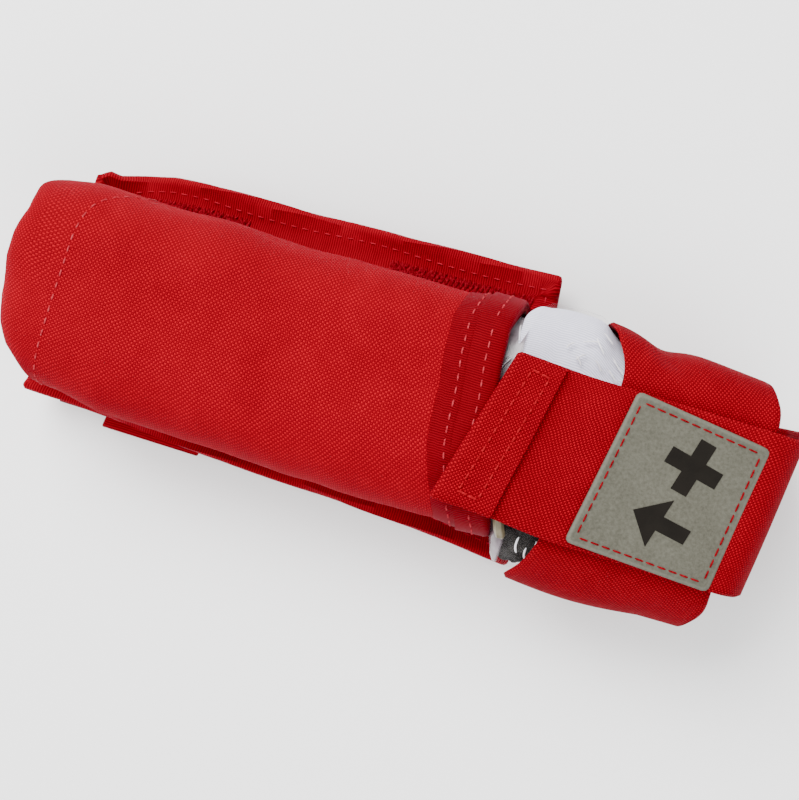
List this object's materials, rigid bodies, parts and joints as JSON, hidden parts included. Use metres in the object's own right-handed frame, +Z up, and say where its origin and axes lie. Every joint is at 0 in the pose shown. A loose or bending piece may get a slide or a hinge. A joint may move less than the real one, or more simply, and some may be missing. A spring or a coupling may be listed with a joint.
{
  "type": "tourniquet",
  "caption": "Folded windlass tourniquet in clear film, held in a red fabric belt pouch by a hook-and-loop closure strap with a pull tab.",
  "frame": {"origin": "on the surface the pouch lies on, under the middle of its outer box", "axes": "+X along the pouch from its closed end to its mouth, +Z up through the front shell, +Y away from the belt straps' free ends"},
  "size_m": [0.2036, 0.0772, 0.052],
  "materials": {
    "red_cordura": "coarse plain-weave coated nylon, slight sheen",
    "red_grosgrain": "ribbed binding tape",
    "red_webbing": "flat woven nylon webbing",
    "red_hook_and_loop": "hook and loop pile",
    "label_rubber": null,
    "black_webbing": "black nylon hook-and-loop band",
    "red_band_tip": "folded red band tip",
    "black_plastic": "moulded black plastic",
    "white_strap": "fine ribbed white tape",
    "clear_film": "thin crinkled clear plastic film"
  },
  "bodies": {
    "pouch": {"back_panel": "red_cordura", "panel_binding": "red_grosgrain", "front_shell": "red_cordura", "mouth_binding": "red_grosgrain", "closure_back_run": "red_webbing", "retention_band": "red_webbing", "retention_loop_pile": "red_hook_and_loop", "belt_anchor_first": "red_webbing", "belt_anchor_second": "red_webbing", "belt_loop_pile_first": "red_hook_and_loop", "belt_loop_pile_second": "red_hook_and_loop"},
    "closure_wall": {"closure_end_wall": "red_webbing"},
    "closure_lid": {"closure_lid": "red_webbing", "closure_hook_patch": "red_hook_and_loop", "label_patch": "label_rubber"},
    "pull_tab": {"pull_tab": "red_webbing"},
    "tourniquet": {"clear_wrap": "clear_film", "band_outer_fold": "black_webbing", "band_inner_fold": "black_webbing", "band_tip": "red_band_tip", "routing_buckle": "black_plastic", "stabilising_plate": "black_plastic", "windlass_clip": "black_plastic", "windlass_rod": "black_plastic", "windlass_ribbon": "black_webbing", "time_strap": "white_strap"},
    "belt_strap_first": {"belt_strap_first": "red_webbing", "belt_hook_patch_first": "red_hook_and_loop", "belt_pull_tab_first": "red_grosgrain"},
    "belt_strap_second": {"belt_strap_second": "red_webbing", "belt_hook_patch_second": "red_hook_and_loop", "belt_pull_tab_second": "red_grosgrain"}
  },
  "joints": [
    {"name": "closure_wall_hinge", "type": "hinge", "parent": "pouch", "child": "closure_wall", "pos_m": [0.10105, -0.00277, 0.0072], "axis": [0, 1, 0], "range_deg": [0, 90]},
    {"name": "closure_lid_hinge", "type": "hinge", "parent": "closure_wall", "child": "closure_lid", "pos_m": [0.10105, -0.00277, 0.0499], "axis": [0, 1, 0], "range_deg": [0, 90]},
    {"name": "pull_tab_hinge", "type": "hinge", "parent": "closure_lid", "child": "pull_tab", "pos_m": [0.04155, -0.00277, 0.0506], "axis": [0, -1, 0], "range_deg": [-80, 0]},
    {"name": "tourniquet_slide", "type": "slide", "parent": "pouch", "child": "tourniquet", "axis": [1, 0, 0], "range_m": [0, 0.0316]},
    {"name": "belt_strap_first_hinge", "type": "hinge", "parent": "pouch", "child": "belt_strap_first", "pos_m": [-0.06325, 0.02383, 0.00596], "axis": [-1, 0, 0], "range_deg": [-140, 0]},
    {"name": "belt_strap_second_hinge", "type": "hinge", "parent": "pouch", "child": "belt_strap_second", "pos_m": [0.01275, 0.02383, 0.00596], "axis": [-1, 0, 0], "range_deg": [-140, 0]}
  ],
  "couplings": [
    {"joint": "tourniquet_slide", "follows": "closure_wall_hinge", "m_per_rad": 0.02}
  ]
}
